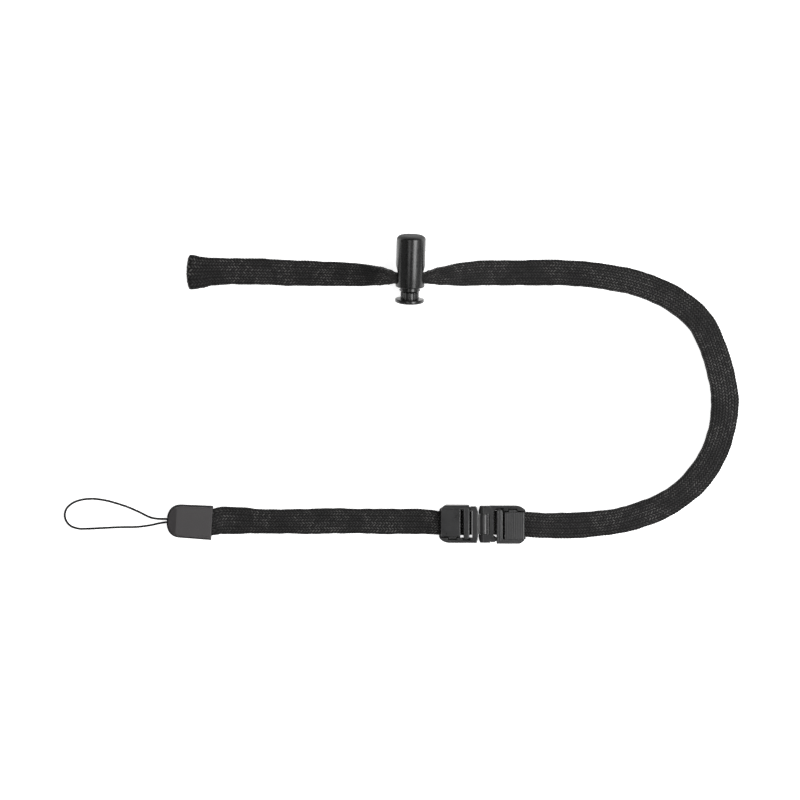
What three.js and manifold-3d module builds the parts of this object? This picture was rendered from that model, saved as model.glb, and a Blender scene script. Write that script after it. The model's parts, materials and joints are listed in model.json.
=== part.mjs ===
// Neck lanyard: doubled flat braid with a spring cord lock, a breakaway buckle, a tail strap, an end tab
// and a thin string loop, laid flat on a table. Millimetres, +Z up, the table is z = 0.
import * as THREE from "three";
import { mergeVertices } from "three/addons/utils/BufferGeometryUtils.js";
import Module from "manifold-3d";

const wasm = await Module();
wasm.setup();
const { Manifold } = wasm;

// ---- driving sizes ---------------------------------------------------------------------------------
const FACE_GAP = 0.3; // between faces that touch in the real object
const BRAID_WIDTH = 10;
const BRAID_THICK = 1.6;
const CLAMPED_THICK = 1.1; // one of two strands under a shut lid
const STRING_DIAMETER = 0.9;

// Cord lock, sizes along its own axis from the barrel's open end (a = 0) towards its closed end
const LOCK_TILT = 13; // degrees, the closed end is up
const LOCK_LEAN = 1.7; // degrees in plan, towards +X
const LOCK_PLACE = { x: 3.75, y: 40.4 }; // where the axis leaves the open end, seen from above
const BARREL_LENGTH = 20.9;
const BARREL_RADIUS = 5.8;
const BARREL_WALL = 1.4;
const WAIST_HALF = 4.9; // half the barrel's width between its scooped sides
const BORE_CLEARANCE = 0.2; // plunger guide in the barrel, each side
const HEAD_RADIUS = 5.8;
const HEAD_RIM = 1.4;
const HEAD_DOME = 0.7;
const HEAD_FACE_AT = -4.83;
const STEM_RADIUS = 3.3;
const GUIDE_END_AT = -1.5;
const GUIDE_TOP_AT = 8.6;
const HOLE_LENGTH = 5.6; // barrel's through hole, along the axis
const HOLE_HEIGHT = 6.0;
const HOLE_AT = 4.1; // barrel hole's centre
const REST_OFFSET = 1.1; // how far the spring holds the plunger's hole out of line
const PRESS_TRAVEL = 2.2;
const SPRING_RADIUS = 2.9;
const SPRING_WIRE = 0.7;
const SPRING_TURNS = 6;

// Strands in the lock
const PINCH_WIDTH = HOLE_LENGTH - REST_OFFSET - 0.6;
const PINCH_THICK = (HOLE_HEIGHT - FACE_GAP) / 2 - 0.55;

// Breakaway buckle, sizes from the pin's axis outwards along the strap
const PIN_PLACE = { x: 33.25, y: -54.1, z: 2.6 };
const PIN_RADIUS = 1.1;
const PIN_CLEARANCE = 0.2;
const EAR_RADIUS = 2.1;
const C_WALL = 0.7;
const C_LIP_CLEARANCE = 0.05;
const TONGUE_HALF = 3.9;
const TONGUE_CLEARANCE = 0.15;
const RAIL_WIDTH = 2.1;
const STRAP_CLEARANCE = 0.35; // braid to rail, each side
const FLOOR_THICK = 1.0;
const RAIL_TOP = 4.6;
const LID_UNDER = 4.4;
const LID_TOP = 5.6;
const LID_GAP = 0.45;
const HINGE_RADIUS = 0.95;
const SOCKET = { bar: [2.1, 3.7], finger: [4.95, 7.45], plate: [8.15, 16.05], end: 16.75, floor: 6.9 };
const CLIP = { bar: [2.5, 4.6], finger: [5.8, 8.2], plate: [9.4, 17.2], end: 17.85, floor: 9.4 };
SOCKET.clamped = 2 * CLAMPED_THICK + FACE_GAP; // what lies under each lid
CLIP.clamped = BRAID_THICK;

// End tab
const TAB_PLACE = { x: -84.3, y: -53.15 };
const TAB_TURN = -3.4; // degrees in plan
const TAB_LENGTH = 18.2;
const TAB_WIDTH = BRAID_WIDTH + 3.3;
const TAB_FLARE = 0.2; // wider by this much each side at the strap end
const TAB_PART_AT = 2.05; // height of the parting plane
const TAB_TOP = 4.2;
const TAB_GROOVE = { from: 0.3, to: 0.75, floor: 1.1 }; // insets from the outline, round the upper shell's foot
const TAB_CHAMFER = 0.35;
const TAB_POCKET = { x0: -3.4, under: 0.9, over: 3.3, clearance: 0.055 * BRAID_WIDTH };
const KNOT = { x: -4.95, rx: 1.4, ry: 1.7, rz: 0.8, room: 0.35 };

const radians = THREE.MathUtils.degToRad;
const railInner = BRAID_WIDTH / 2 + STRAP_CLEARANCE;
const railOuter = railInner + RAIL_WIDTH;
const hingeAt = { y: -(railOuter - 0.5), z: 4.0 };

// ---- solids ----------------------------------------------------------------------------------------
function solidOf(geometry) {
  const bare = new THREE.BufferGeometry();
  const loose = geometry.index ? geometry.toNonIndexed() : geometry;
  bare.setAttribute("position", loose.getAttribute("position"));
  const merged = mergeVertices(bare, 1e-4);
  return new Manifold(
    new wasm.Mesh({
      numProp: 3,
      vertProperties: new Float32Array(merged.attributes.position.array),
      triVerts: new Uint32Array(merged.index.array),
    }),
  );
}

function geometryOf(solid) {
  const mesh = solid.getMesh();
  const points = new Float32Array(mesh.numVert * 3);
  for (let i = 0; i < mesh.numVert; i++) {
    points.set(mesh.vertProperties.subarray(i * mesh.numProp, i * mesh.numProp + 3), i * 3);
  }
  const geometry = new THREE.BufferGeometry();
  geometry.setAttribute("position", new THREE.BufferAttribute(points, 3));
  geometry.setIndex(new THREE.BufferAttribute(new Uint32Array(mesh.triVerts), 1));
  const flat = geometry.toNonIndexed();
  flat.computeVertexNormals();
  return flat;
}

function block(x0, x1, y0, y1, z0, z1) {
  const geometry = new THREE.BoxGeometry(x1 - x0, y1 - y0, z1 - z0);
  geometry.translate((x0 + x1) / 2, (y0 + y1) / 2, (z0 + z1) / 2);
  return solidOf(geometry);
}

// A shape in the XY plane, raised from z0 to z1, with its top (and bottom) edges bevelled.
function raised(shape, z0, z1, bevel = 0, curveSegments = 12) {
  const geometry = new THREE.ExtrudeGeometry(shape, {
    depth: z1 - z0 - 2 * bevel,
    bevelEnabled: bevel > 0,
    bevelThickness: bevel,
    bevelSize: bevel,
    bevelOffset: -bevel,
    bevelSegments: 2,
    curveSegments,
  });
  geometry.translate(0, 0, z0 + bevel);
  return solidOf(geometry);
}

// A shape drawn in (x, z), stretched from y0 to y1.
function across(shape, y0, y1, curveSegments = 10) {
  const geometry = new THREE.ExtrudeGeometry(shape, {
    depth: y1 - y0,
    bevelEnabled: false,
    curveSegments,
  });
  geometry.rotateX(Math.PI / 2);
  geometry.translate(0, y1, 0);
  return solidOf(geometry);
}

// A shape drawn in (y, z), stretched from x0 to x1.
function along(shape, x0, x1, curveSegments = 5) {
  const geometry = new THREE.ExtrudeGeometry(shape, {
    depth: x1 - x0,
    bevelEnabled: false,
    curveSegments,
  });
  const turned = new THREE.Matrix4().makeBasis(
    new THREE.Vector3(0, 1, 0),
    new THREE.Vector3(0, 0, 1),
    new THREE.Vector3(1, 0, 0),
  );
  geometry.applyMatrix4(turned);
  geometry.translate(x0, 0, 0);
  return solidOf(geometry);
}

function lathe(profile, segments = 48) {
  const geometry = new THREE.LatheGeometry(
    profile.map(([r, a]) => new THREE.Vector2(r, a)),
    segments,
  );
  geometry.rotateX(Math.PI / 2); // profile height becomes +Z
  return solidOf(geometry);
}

function roundedBox(x0, x1, y0, y1, r) {
  const s = new THREE.Shape();
  s.moveTo(x0 + r, y0);
  s.lineTo(x1 - r, y0);
  s.absarc(x1 - r, y0 + r, r, -Math.PI / 2, 0);
  s.lineTo(x1, y1 - r);
  s.absarc(x1 - r, y1 - r, r, 0, Math.PI / 2);
  s.lineTo(x0 + r, y1);
  s.absarc(x0 + r, y1 - r, r, Math.PI / 2, Math.PI);
  s.lineTo(x0, y0 + r);
  s.absarc(x0 + r, y0 + r, r, Math.PI, 1.5 * Math.PI);
  return s;
}

// ---- braid -----------------------------------------------------------------------------------------
// Section of a flattened tubular braid: a soft-cornered flat shape, one unit wide and one thick.
const SECTION_SIDES = 12;
function sectionShape() {
  const points = [];
  for (let i = 0; i < SECTION_SIDES; i++) {
    const angle = (2 * Math.PI * (i + 0.5)) / SECTION_SIDES;
    const c = Math.cos(angle);
    const s = Math.sin(angle);
    points.push(
      new THREE.Vector2(
        (Math.sign(c) * Math.pow(Math.abs(c), 0.42)) / 2 / Math.pow(Math.cos(Math.PI / 12), 0.42),
        (Math.sign(s) * Math.pow(Math.abs(s), 0.55)) / 2 / Math.pow(Math.cos(Math.PI / 12), 0.55),
      ),
    );
  }
  return new THREE.Shape(points);
}

// A route is a list of stations: place, width, thickness of one strand and roll about the route in degrees.
class Route {
  constructor(stations, side = null) {
    this.stations = stations;
    this.side = side;
    this.curve = new THREE.CatmullRomCurve3(
      stations.map((s) => new THREE.Vector3(...s.at)),
      false,
      "centripetal",
    );
  }

  value(key, index) {
    const last = this.stations.length - 1;
    const i = Math.min(Math.floor(index), last - 1);
    const f = THREE.MathUtils.smoothstep(index - i, 0, 1);
    return THREE.MathUtils.lerp(this.stations[i][key], this.stations[i + 1][key], f);
  }

  frame(index) {
    const t = index / (this.stations.length - 1);
    const tangent = this.curve.getTangent(t);
    const side = this.side
      ? this.side.clone()
      : new THREE.Vector3(0, 0, 1).cross(tangent).normalize();
    const normal = tangent.clone().cross(side).normalize();
    const roll = radians(this.value("roll", index));
    side.applyAxisAngle(tangent, roll);
    normal.applyAxisAngle(tangent, roll);
    return { at: this.curve.getPoint(t), side, normal };
  }
}

// One strand along a route from station index i0 to i1. layer is -1 below, 1 above and 0 for a single strand.
// cut0 and cut1 pull each end back by that many millimetres.
function strand(route, i0, i1, steps, layer = 0, cut0 = 0, cut1 = 0) {
  const geometry = new THREE.ExtrudeGeometry(sectionShape(), { depth: 1, steps, bevelEnabled: false });
  const last = route.stations.length - 1;
  const speed = (index) => {
    const a = Math.max(0, index - 0.01);
    const b = Math.min(last, index + 0.01);
    const far = route.curve.getPoint(b / last).distanceTo(route.curve.getPoint(a / last));
    return far / (b - a);
  };
  const start = i0 + cut0 / speed(i0);
  const stop = i1 - cut1 / speed(i1);
  const position = geometry.getAttribute("position");
  const frames = new Map();
  for (let k = 0; k < position.count; k++) {
    const key = Math.round(position.getZ(k) * steps);
    if (!frames.has(key)) {
      const index = THREE.MathUtils.lerp(start, stop, key / steps);
      const thick = route.value("thick", index);
      const shift = (layer * (thick + FACE_GAP)) / 2;
      const frame = route.frame(index);
      frame.at.addScaledVector(frame.normal, shift);
      frames.set(key, { ...frame, width: route.value("width", index), thick });
    }
    const f = frames.get(key);
    const point = f.at
      .clone()
      .addScaledVector(f.side, position.getX(k) * f.width)
      .addScaledVector(f.normal, position.getY(k) * f.thick);
    position.setXYZ(k, point.x, point.y, point.z);
  }
  return geometry;
}

// ---- cord lock -------------------------------------------------------------------------------------
const lockAxis = new THREE.Vector3(0, 0, 1)
  .applyAxisAngle(new THREE.Vector3(1, 0, 0), radians(LOCK_TILT - 90))
  .applyAxisAngle(new THREE.Vector3(0, 0, 1), radians(-LOCK_LEAN));
const headOuterAt = HEAD_FACE_AT - HEAD_RIM;
const lockHeight = HEAD_RADIUS * Math.cos(radians(LOCK_TILT)) - headOuterAt * Math.sin(radians(LOCK_TILT));
const lockOrigin = new THREE.Vector3(LOCK_PLACE.x, LOCK_PLACE.y, lockHeight);
const boreRadius = BARREL_RADIUS - BARREL_WALL;
const guideRadius = boreRadius - BORE_CLEARANCE;
const strapAt = HOLE_AT - REST_OFFSET / 2; // the strands' centre along the lock's axis
const strapInLock = lockOrigin.clone().addScaledVector(lockAxis, strapAt);

// Stadium hole along X through a lock piece, centred at height a on the axis.
function crossHole(a, length) {
  const r = 1.6;
  const hole = roundedBox(-length / 2, length / 2, -HOLE_HEIGHT / 2, HOLE_HEIGHT / 2, r);
  return raised(hole, -10, 10)
    .rotate([0, 90, 0])
    .translate([0, 0, a]);
}

// What the barrel loses on its +x side, where the strands leave it, from just above the rim upwards.
function sideScoop() {
  const s = new THREE.Shape();
  s.moveTo(BARREL_RADIUS + 1, HOLE_AT - 3.1);
  s.lineTo(BARREL_RADIUS - 0.1, HOLE_AT - 3.1);
  s.lineTo(WAIST_HALF + 0.3, HOLE_AT - 2.4);
  s.lineTo(WAIST_HALF, HOLE_AT - 1.5);
  s.lineTo(WAIST_HALF, HOLE_AT + 1.1);
  s.lineTo(WAIST_HALF + 0.2, HOLE_AT + 2.3);
  s.lineTo(BARREL_RADIUS - 0.2, HOLE_AT + 4.1);
  s.lineTo(BARREL_RADIUS + 0.1, HOLE_AT + 5.9);
  s.lineTo(BARREL_RADIUS + 1, HOLE_AT + 5.9);
  return across(s, -BARREL_RADIUS - 1, BARREL_RADIUS + 1);
}

function lockBarrel() {
  const end = BARREL_LENGTH;
  const outer = [
    [0, 0],
    [BARREL_RADIUS - 0.5, 0],
    [BARREL_RADIUS - 0.15, 0.15],
    [BARREL_RADIUS, 0.5],
    [BARREL_RADIUS, end - 2.4],
    [BARREL_RADIUS - 0.1, end - 1.7],
    [BARREL_RADIUS - 0.4, end - 1.1],
    [BARREL_RADIUS - 0.9, end - 0.65],
    [BARREL_RADIUS - 1.7, end - 0.38],
    [BARREL_RADIUS - 3.2, end - 0.12],
    [0, end],
  ];
  const bore = [
    [0, -1],
    [boreRadius + 0.3, -1],
    [boreRadius + 0.3, 0],
    [boreRadius, 0.3],
    [boreRadius, end - 2.2],
    [0, end - 1.6],
  ];
  return lathe(outer, 56)
    .subtract(lathe(bore, 40))
    .subtract(sideScoop())
    .subtract(sideScoop().rotate([0, 0, 180]))
    .subtract(crossHole(HOLE_AT, HOLE_LENGTH));
}

function lockPlunger() {
  const face = HEAD_FACE_AT;
  const rim = face - HEAD_RIM;
  const turned = [
    [0, rim - HEAD_DOME],
    [HEAD_RADIUS * 0.45, rim - HEAD_DOME * 0.82],
    [HEAD_RADIUS * 0.8, rim - HEAD_DOME * 0.36],
    [HEAD_RADIUS - 0.15, rim],
    [HEAD_RADIUS, rim + 0.3],
    [HEAD_RADIUS, face - 0.25],
    [HEAD_RADIUS - 0.25, face],
    [STEM_RADIUS, face],
    [STEM_RADIUS, GUIDE_END_AT - 0.7],
    [guideRadius, GUIDE_END_AT],
    [guideRadius, GUIDE_TOP_AT - 0.4],
    [guideRadius - 0.4, GUIDE_TOP_AT],
    [SPRING_RADIUS - 0.9, GUIDE_TOP_AT],
    [SPRING_RADIUS - 0.9, GUIDE_TOP_AT + 2.2],
    [0, GUIDE_TOP_AT + 2.6],
  ];
  let plunger = lathe(turned, 40);
  const ribs = 12;
  for (let i = 0; i < ribs; i++) {
    const rib = block(STEM_RADIUS - 0.3, STEM_RADIUS + 0.3, -0.28, 0.28, face - 0.2, GUIDE_END_AT - 0.35);
    plunger = plunger.add(rib.rotate([0, 0, (360 * i) / ribs]));
  }
  // The plunger's hole is longer towards the head, so that pressing it never reaches the strands.
  const longer = PRESS_TRAVEL - REST_OFFSET;
  return plunger.subtract(crossHole(HOLE_AT - REST_OFFSET - longer / 2, HOLE_LENGTH + longer));
}

function lockSpring() {
  const bottom = GUIDE_TOP_AT + FACE_GAP + SPRING_WIRE / 2;
  const top = BARREL_LENGTH - 2.2 - FACE_GAP - SPRING_WIRE / 2;
  class Helix extends THREE.Curve {
    getPoint(t, target = new THREE.Vector3()) {
      const angle = 2 * Math.PI * SPRING_TURNS * t;
      return target.set(
        SPRING_RADIUS * Math.cos(angle),
        SPRING_RADIUS * Math.sin(angle),
        THREE.MathUtils.lerp(bottom, top, t),
      );
    }
  }
  const wire = new THREE.Shape();
  wire.absarc(0, 0, SPRING_WIRE / 2, 0, 2 * Math.PI);
  return new THREE.ExtrudeGeometry(wire, {
    steps: SPRING_TURNS * 14,
    curveSegments: 4,
    extrudePath: new Helix(),
  });
}

// ---- buckle ----------------------------------------------------------------------------------------
// Both halves are drawn with the pin's axis at the origin, the strap leaving along +x, the hinge on -y.
function frameOutline(half) {
  const [x0] = half.bar;
  const x1 = half.end;
  const y0 = hingeAt.y + 0.1;
  const y1 = railOuter;
  const r = 1.9;
  const notch = 1.5;
  const s = new THREE.Shape();
  s.moveTo(x0 + 0.45, y0);
  s.lineTo(x1 - r, y0);
  s.absarc(x1 - r, y0 + r, r, -Math.PI / 2, 0);
  s.lineTo(x1, y1 - 2.6);
  s.bezierCurveTo(x1, y1 - 1.3, x1 - 1.9, y1 - 0.15, x1 - 3.9, y1);
  s.lineTo(x0 + 0.45, y1);
  s.lineTo(x0, y1 - notch);
  s.lineTo(x0, y0 + notch);
  return s;
}

function buckleFrame(half) {
  const [, barEnd] = half.bar;
  const [f0, f1] = half.finger;
  const [p0, p1] = half.plate;
  const middle = (p0 + p1) / 2 - 0.75;
  const shoulder = block(half.bar[0] + 0.6, f0 - LID_GAP - 0.1, -(railOuter - 0.35), -railInner - 0.2, 0.3, 4.2);
  return raised(frameOutline(half), 0, RAIL_TOP, 0.3, 6)
    .add(shoulder)
    .subtract(block(barEnd, half.floor, -railInner, railInner, -1, 9))
    .subtract(block(half.floor - 0.1, half.end + 1, -railInner, railInner, FLOOR_THICK, 9))
    .subtract(block(f0 - LID_GAP, p1 + LID_GAP, -20, -railInner + 0.1, 2.7, 9))
    .subtract(block(f0 - LID_GAP, f1 + LID_GAP, 0, railInner + 1.15, 2.3, 9))
    .subtract(block(middle - 1.95, middle + 1.95, 0, railInner + 0.85, 2.1, 9));
}

function socketFrame() {
  const [x0] = SOCKET.bar;
  const z = PIN_PLACE.z;
  const ear = new THREE.Shape();
  ear.moveTo(x0 + 0.4, z + EAR_RADIUS - 0.1);
  ear.lineTo(0, z + EAR_RADIUS);
  ear.absarc(0, z, EAR_RADIUS, Math.PI / 2, 1.5 * Math.PI);
  ear.lineTo(x0 + 0.4, z - EAR_RADIUS + 0.1);
  const inner = TONGUE_HALF + TONGUE_CLEARANCE;
  const outer = railOuter - 0.1;
  const pin = new THREE.CylinderGeometry(PIN_RADIUS, PIN_RADIUS, 2 * inner + 1, 24);
  pin.translate(0, 0, z);
  const [, barEnd] = SOCKET.bar;
  const gusset = new THREE.Shape();
  gusset.moveTo(barEnd - 0.2, -railInner - 0.2);
  gusset.lineTo(barEnd + 1.3, -railInner - 0.2);
  gusset.lineTo(barEnd + 1.3, -railInner + 0.05);
  gusset.lineTo(barEnd, -railInner + 1.05);
  gusset.lineTo(barEnd - 0.2, -railInner + 1.05);
  const nick = new THREE.Shape();
  nick.moveTo(-EAR_RADIUS - 0.5, outer - 2);
  nick.lineTo(-EAR_RADIUS, outer - 2);
  nick.lineTo(-EAR_RADIUS + 0.6, outer + 0.3);
  nick.lineTo(-EAR_RADIUS - 0.5, outer + 0.3);
  const ledge = block(PIN_RADIUS + PIN_CLEARANCE + C_WALL - 0.2, x0 + 0.3, -inner - 0.2, inner + 0.2, 0.3, 1.7);
  return buckleFrame(SOCKET)
    .add(ledge)
    .add(raised(gusset, 0.3, 2.5))
    .add(across(ear, inner, outer))
    .add(across(ear, -outer, -inner))
    .add(solidOf(pin))
    .subtract(raised(nick, -1, 9))
    .subtract(raised(nick, -1, 9).mirror([0, 1, 0]));
}

// The tongue ends in an open C: it hooks round the pin and comes off it when the halves are pulled apart.
function clipFrame() {
  const [x0] = CLIP.bar;
  const z = PIN_PLACE.z;
  const inside = PIN_RADIUS + PIN_CLEARANCE;
  const outside = inside + C_WALL;
  const mouth = PIN_RADIUS + C_LIP_CLEARANCE;
  const gapOut = Math.asin(mouth / outside);
  const gapIn = Math.asin(mouth / inside);
  const c = new THREE.Shape();
  c.absarc(0, z, outside, Math.PI - gapOut, -Math.PI + gapOut, true);
  c.absarc(0, z, inside, -Math.PI + gapIn, Math.PI - gapIn, false);
  const web = new THREE.Shape();
  web.moveTo(inside + 0.15, z - 1.35);
  web.lineTo(x0 + 0.3, z - 1.35);
  web.lineTo(x0 + 0.3, z + 1.5);
  web.lineTo(inside + 0.15, z + 1.35);
  const tongue = across(c, -TONGUE_HALF, TONGUE_HALF, 16);
  const root = block(EAR_RADIUS + 0.2, x0 + 0.3, -railInner + 0.15, railInner - 0.15, 0.9, 4.1);
  return buckleFrame(CLIP)
    .add(tongue)
    .add(root)
    .add(across(web, -TONGUE_HALF, TONGUE_HALF));
}

// The lid's edge is rolled down over the rail: a bead on the hinge's axis under a rounded shoulder.
function lidHinge(x0, x1) {
  const inner = -railInner - 0.6;
  const top = LID_TOP - 0.2;
  const inset = 0.1;
  const shoulder = { y: hingeAt.y + 0.1, radius: 0.75 };
  const s = new THREE.Shape();
  s.moveTo(inner, LID_UNDER + 0.1);
  s.absarc(hingeAt.y, hingeAt.z, HINGE_RADIUS, radians(-42), radians(-176), true);
  s.absarc(shoulder.y, top - shoulder.radius, shoulder.radius, radians(176), radians(90), true);
  s.lineTo(inner, top);
  return along(s, x0 + inset, x1 - inset);
}

function buckleLid(half) {
  const [f0, f1] = half.finger;
  const [p0, p1] = half.plate;
  const reach = railInner - LID_GAP;
  const root = -railInner - 0.85;
  const plate = raised(roundedBox(p0, p1, root, reach, 0.5), LID_UNDER, LID_TOP, 0.35, 4);
  const width = f1 - f0;
  const bar = new THREE.Shape();
  bar.moveTo(f0, root);
  bar.lineTo(f1, root);
  bar.lineTo(f1, railInner + 0.65 - width / 2);
  bar.absarc(f0 + width / 2, railInner + 0.65 - width / 2, width / 2, 0, Math.PI);
  bar.lineTo(f0, root);
  const finger = raised(bar, LID_UNDER - 0.1, LID_TOP - 0.1, 0.45, 8);
  const middle = (p0 + p1) / 2 - 0.75;
  const snap = block(middle - 1.5, middle + 1.5, reach - 0.4, reach + 0.8, 3.9, 5.1);
  let lid = plate.add(finger).add(lidHinge(f0, p1)).add(snap);
  const teeth = 4;
  const bite = FLOOR_THICK + half.clamped + 2 * FACE_GAP;
  for (let i = 0; i < teeth; i++) {
    const x = THREE.MathUtils.lerp(p0 + 1.2, p1 - 1.2, i / (teeth - 1));
    lid = lid.add(
      block(x - 0.3, x + 0.3, -railInner + 0.6, reach - 0.5, bite, LID_UNDER + 0.2),
    );
  }
  const corner = new THREE.Shape();
  corner.moveTo(p1 - 2.2, -railOuter - 0.65);
  corner.lineTo(p1 + 0.6, -railOuter - 0.65);
  corner.lineTo(p1 + 0.6, -railOuter + 1.45);
  return lid.subtract(raised(corner, 1, 9));
}

// ---- end tab ---------------------------------------------------------------------------------------
// Drawn with the string end towards -x and the strap end towards +x, centred on its own middle.
function tabOutline(inset, right = TAB_LENGTH / 2) {
  const half = TAB_WIDTH / 2 - inset;
  const flared = half + TAB_FLARE;
  const left = -TAB_LENGTH / 2 + inset;
  const bend = left + TAB_WIDTH * 0.43;
  const s = new THREE.Shape();
  s.moveTo(right, -flared);
  s.lineTo(right, flared);
  s.lineTo(bend, half);
  s.bezierCurveTo(left + 1.9, half, left, half * 0.62, left, 0);
  s.bezierCurveTo(left, -half * 0.62, left + 1.9, -half, bend, -half);
  return s;
}

function tabPocket(z0, z1) {
  const half = BRAID_WIDTH / 2 + TAB_POCKET.clearance;
  return raised(roundedBox(TAB_POCKET.x0, TAB_LENGTH, -half, half, 1), z0, z1);
}

// Room for the knot, behind the pocket of the strap.
function knotPocket() {
  const { x, rx, ry, rz, room } = KNOT;
  const shape = roundedBox(x - rx - room, TAB_POCKET.x0 + 1.2, -ry - room, ry + room, 1);
  return raised(shape, TAB_PART_AT - rz - room, TAB_PART_AT + rz + room);
}

function stringChannel() {
  const half = STRING_DIAMETER / 2 + FACE_GAP;
  return block(-TAB_LENGTH, KNOT.x - KNOT.rx, -1.4, 1.4, TAB_PART_AT - half, TAB_PART_AT + half);
}

function tabLowerShell() {
  const top = TAB_PART_AT - FACE_GAP / 2;
  const past = TAB_LENGTH;
  const groove = raised(tabOutline(TAB_GROOVE.from, past), TAB_GROOVE.floor, 9, 0, 16).subtract(
    raised(tabOutline(TAB_GROOVE.to, past + 1), 0, 10, 0, 16),
  );
  let shell = raised(tabOutline(0), 0, top + 0.3, 0.3, 16)
    .subtract(block(-20, 20, -20, 20, top, 9))
    .subtract(groove)
    .subtract(tabPocket(TAB_POCKET.under, 9))
    .subtract(knotPocket())
    .subtract(stringChannel());
  for (const x of [1.5, 5]) {
    shell = shell.add(block(x - 0.25, x + 0.25, -4.6, 4.6, 0.6, TAB_POCKET.under + 0.1));
  }
  return shell;
}

function tabUpperShell() {
  const bottom = TAB_PART_AT + FACE_GAP / 2;
  const shoulder = TAB_TOP - TAB_CHAMFER;
  const foot = TAB_GROOVE.to;
  const skirt = raised(tabOutline(foot), bottom - 0.2, shoulder, 0.15, 16);
  const crown = raised(tabOutline(foot + TAB_CHAMFER, TAB_LENGTH / 2 - 0.15), bottom + 0.5, TAB_TOP, 0.2, 16);
  const slope = radians(19);
  let shell = skirt
    .add(crown)
    .subtract(block(-20, 20, -20, 20, -1, bottom))
    .trimByPlane([Math.sin(slope), 0, -Math.cos(slope)], -5.05 * Math.sin(slope) - TAB_TOP * Math.cos(slope))
    .subtract(tabPocket(-1, TAB_POCKET.over))
    .subtract(knotPocket())
    .subtract(stringChannel());
  for (const x of [3.2, 6.6]) {
    shell = shell.add(
      block(x - 0.25, x + 0.25, -4.6, 4.6, TAB_POCKET.over - 0.1, TAB_POCKET.over + 0.2),
    );
  }
  return shell;
}

function stringKnot() {
  const ball = new THREE.SphereGeometry(1, 16, 10);
  ball.scale(KNOT.rx, KNOT.ry, KNOT.rz);
  return ball;
}

// ---- routes ----------------------------------------------------------------------------------------
const LIE = 0.04; // braid's soft underside above the table
const flatZ = LIE + BRAID_THICK + FACE_GAP / 2; // middle of two strands lying on the table
const clampZ = FLOOR_THICK + FACE_GAP + CLAMPED_THICK + FACE_GAP / 2;

function station(x, y, z, width = BRAID_WIDTH, thick = BRAID_THICK, roll = 0) {
  return { at: [x, y, z], width, thick, roll };
}

const w = BRAID_WIDTH / 10;
const inLock = strapInLock;
const neckRoute = new Route([
  station(-62, 46.75, flatZ, 10.4 * w),
  station(-50, 46.4, flatZ, 10.1 * w),
  station(-38, 46.0, flatZ + 0.1, 10.0 * w),
  station(-26, 45.6, flatZ + 1.3, 9.5 * w, 1.7, 2),
  station(-16, 45.2, flatZ + 3.2, 8.8 * w, 1.8, 5),
  station(-8.2, 44.6, inLock.z - 0.35, 7.3 * w, 2.0, 8),
  station(-4.6, 44.2, inLock.z - 0.1, 5.5 * w, 2.2, LOCK_TILT),
  station(inLock.x - 5.6, inLock.y, inLock.z, PINCH_WIDTH, PINCH_THICK, LOCK_TILT),
  station(inLock.x + 5.6, inLock.y, inLock.z, PINCH_WIDTH, PINCH_THICK, LOCK_TILT),
  station(11.8, 44.15, inLock.z - 0.1, 5.0 * w, 2.2, LOCK_TILT),
  station(16.0, 44.6, inLock.z - 0.8, 7.0 * w, 2.0, 8),
  station(24, 45.4, flatZ + 3.2, 9.0 * w, 1.8, 4),
  station(32, 46.0, flatZ + 1.6, 9.8 * w, 1.7, 2),
  station(42, 46.1, flatZ + 0.4, 9.9 * w),
  station(54, 46.3, flatZ),
  station(66, 46.1, flatZ),
  station(78, 45.2, flatZ),
  station(89, 43.3, flatZ),
  station(100, 40.1, flatZ),
  station(109, 35.8, flatZ, 10.2 * w),
  station(116.5, 30.0, flatZ, 10.4 * w),
  station(121.2, 24.2, flatZ, 10.3 * w),
  station(125.0, 16.0, flatZ, 10.4 * w),
  station(127.9, 6.0, flatZ, 10.6 * w),
  station(129.5, -4.6, flatZ, 10.6 * w),
  station(128.6, -15.0, flatZ, 10.5 * w),
  station(125.0, -26.0, flatZ, 10.3 * w),
  station(118.6, -36.0, flatZ, 10.2 * w),
  station(108.6, -44.6, flatZ, 10.0 * w),
  station(96.5, -50.2, flatZ, 10.0 * w),
  station(84.6, -53.2, flatZ, 10.0 * w),
  station(72.0, -54.5, flatZ, 10.0 * w),
  station(60, -54.7, flatZ + 0.15, 10.0 * w),
  station(53, -54.4, flatZ + 0.9, 9.9 * w, 1.3),
  station(49.2, PIN_PLACE.y, clampZ, 9.8 * w, CLAMPED_THICK),
  station(44, PIN_PLACE.y + 0.2, clampZ, 9.9 * w, CLAMPED_THICK),
  station(39.5, PIN_PLACE.y + 0.45, clampZ, 9.5 * w, CLAMPED_THICK),
  station(37.22, PIN_PLACE.y + 0.5, clampZ, 9.3 * w, CLAMPED_THICK),
]);
const PINCH_FROM = 0;
const PINCH_TO = 14;
const NECK_END = neckRoute.stations.length - 1;

// The fold: out along the lower strand, round, and back along the upper one.
const foldRadius = (BRAID_THICK + FACE_GAP) / 2;
const foldAt = -83.5;
const foldPart = [
  [-62.4, 10.4, 46.75],
  [-69, 10.4, 46.8],
  [-75, 10.8, 46.7],
  [-79.5, 12.4, 46.45],
  [-82.4, 13.5, 46.35],
];
const foldRoute = new Route(
  [
    ...foldPart.map(([x, width, y]) => station(x, y, flatZ - foldRadius, width * w)),
    ...[-90, -135, 180, 135, 90].map((angle) =>
      station(
        foldAt + foldRadius * Math.cos(radians(angle)),
        46.35,
        flatZ + foldRadius * Math.sin(radians(angle)),
        13.7 * w,
      ),
    ),
    ...[...foldPart].reverse().map(([x, width, y]) => station(x, y, flatZ + foldRadius, width * w)),
  ],
  new THREE.Vector3(0, 1, 0),
);

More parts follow.
